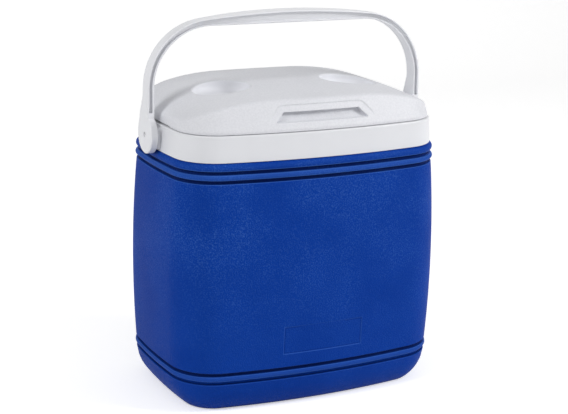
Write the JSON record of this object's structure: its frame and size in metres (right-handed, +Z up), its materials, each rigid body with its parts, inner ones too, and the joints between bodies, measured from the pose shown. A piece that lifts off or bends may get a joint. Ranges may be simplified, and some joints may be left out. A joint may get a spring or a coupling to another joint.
{
  "type": "vaccine carrier",
  "caption": "Insulated hard-shell carrier box with a lift-off foam-filled lid, a swinging bail handle and an ice-pack-lined store for vaccines.",
  "frame": {"origin": "middle of the base, on the surface the carrier stands on", "axes": "+X to the right along the long side, +Y to the back, +Z up; the finger pocket faces -Y"},
  "size_m": [0.4114, 0.2688, 0.5205],
  "materials": {
    "wall_plastic": "blue polyethylene, fine grain, low sheen",
    "white_plastic": "white polypropylene, fine grain",
    "collar_plastic": "white polypropylene, smooth satin",
    "handle_plastic": "white polypropylene, smooth satin",
    "pivot_plastic": "pale acetal, smooth",
    "liner_plastic": "white food-grade polypropylene, smooth",
    "insulation_foam": "pale yellow rigid polyurethane foam",
    "gasket_rubber": "soft grey rubber",
    "pad_foam": "soft charcoal polyethylene foam",
    "ice_pack_plastic": "milky translucent polyethylene",
    "stopper_plastic": "blue polyethylene",
    "bin_plastic": "pale polypropylene, smooth"
  },
  "bodies": {
    "carrier_body": {"outer_shell": "wall_plastic", "base_plug": "wall_plastic", "body_insulation": "insulation_foam", "inner_liner": "liner_plastic", "rim_collar": "collar_plastic", "pivot_pin_left": "pivot_plastic", "pivot_pin_right": "pivot_plastic", "pivot_washer_left": "pivot_plastic", "pivot_washer_right": "pivot_plastic", "vaccine_bin": "bin_plastic", "ice_pack_front_left": "ice_pack_plastic", "ice_pack_front_right": "ice_pack_plastic", "ice_pack_back_left": "ice_pack_plastic", "ice_pack_back_right": "ice_pack_plastic", "ice_pack_left": "ice_pack_plastic", "ice_pack_right": "ice_pack_plastic", "pack_stopper_front_left": "stopper_plastic", "pack_stopper_front_right": "stopper_plastic", "pack_stopper_back_left": "stopper_plastic", "pack_stopper_back_right": "stopper_plastic", "pack_stopper_left": "stopper_plastic", "pack_stopper_right": "stopper_plastic"},
    "lid": {"lid_shell": "white_plastic", "lid_insulation": "insulation_foam", "lid_pan": "liner_plastic", "lid_gasket": "gasket_rubber", "vial_pad": "pad_foam"},
    "handle": {"handle": "handle_plastic"}
  },
  "joints": [
    {"name": "handle_swing", "type": "hinge", "parent": "carrier_body", "child": "handle", "pos_m": [0, 0, 0.362], "axis": [1, 0, 0], "range_deg": [-108, 108]},
    {"name": "lid_lift", "type": "slide", "parent": "carrier_body", "child": "lid", "axis": [0, 0, 1], "range_m": [0, 0.045]}
  ]
}
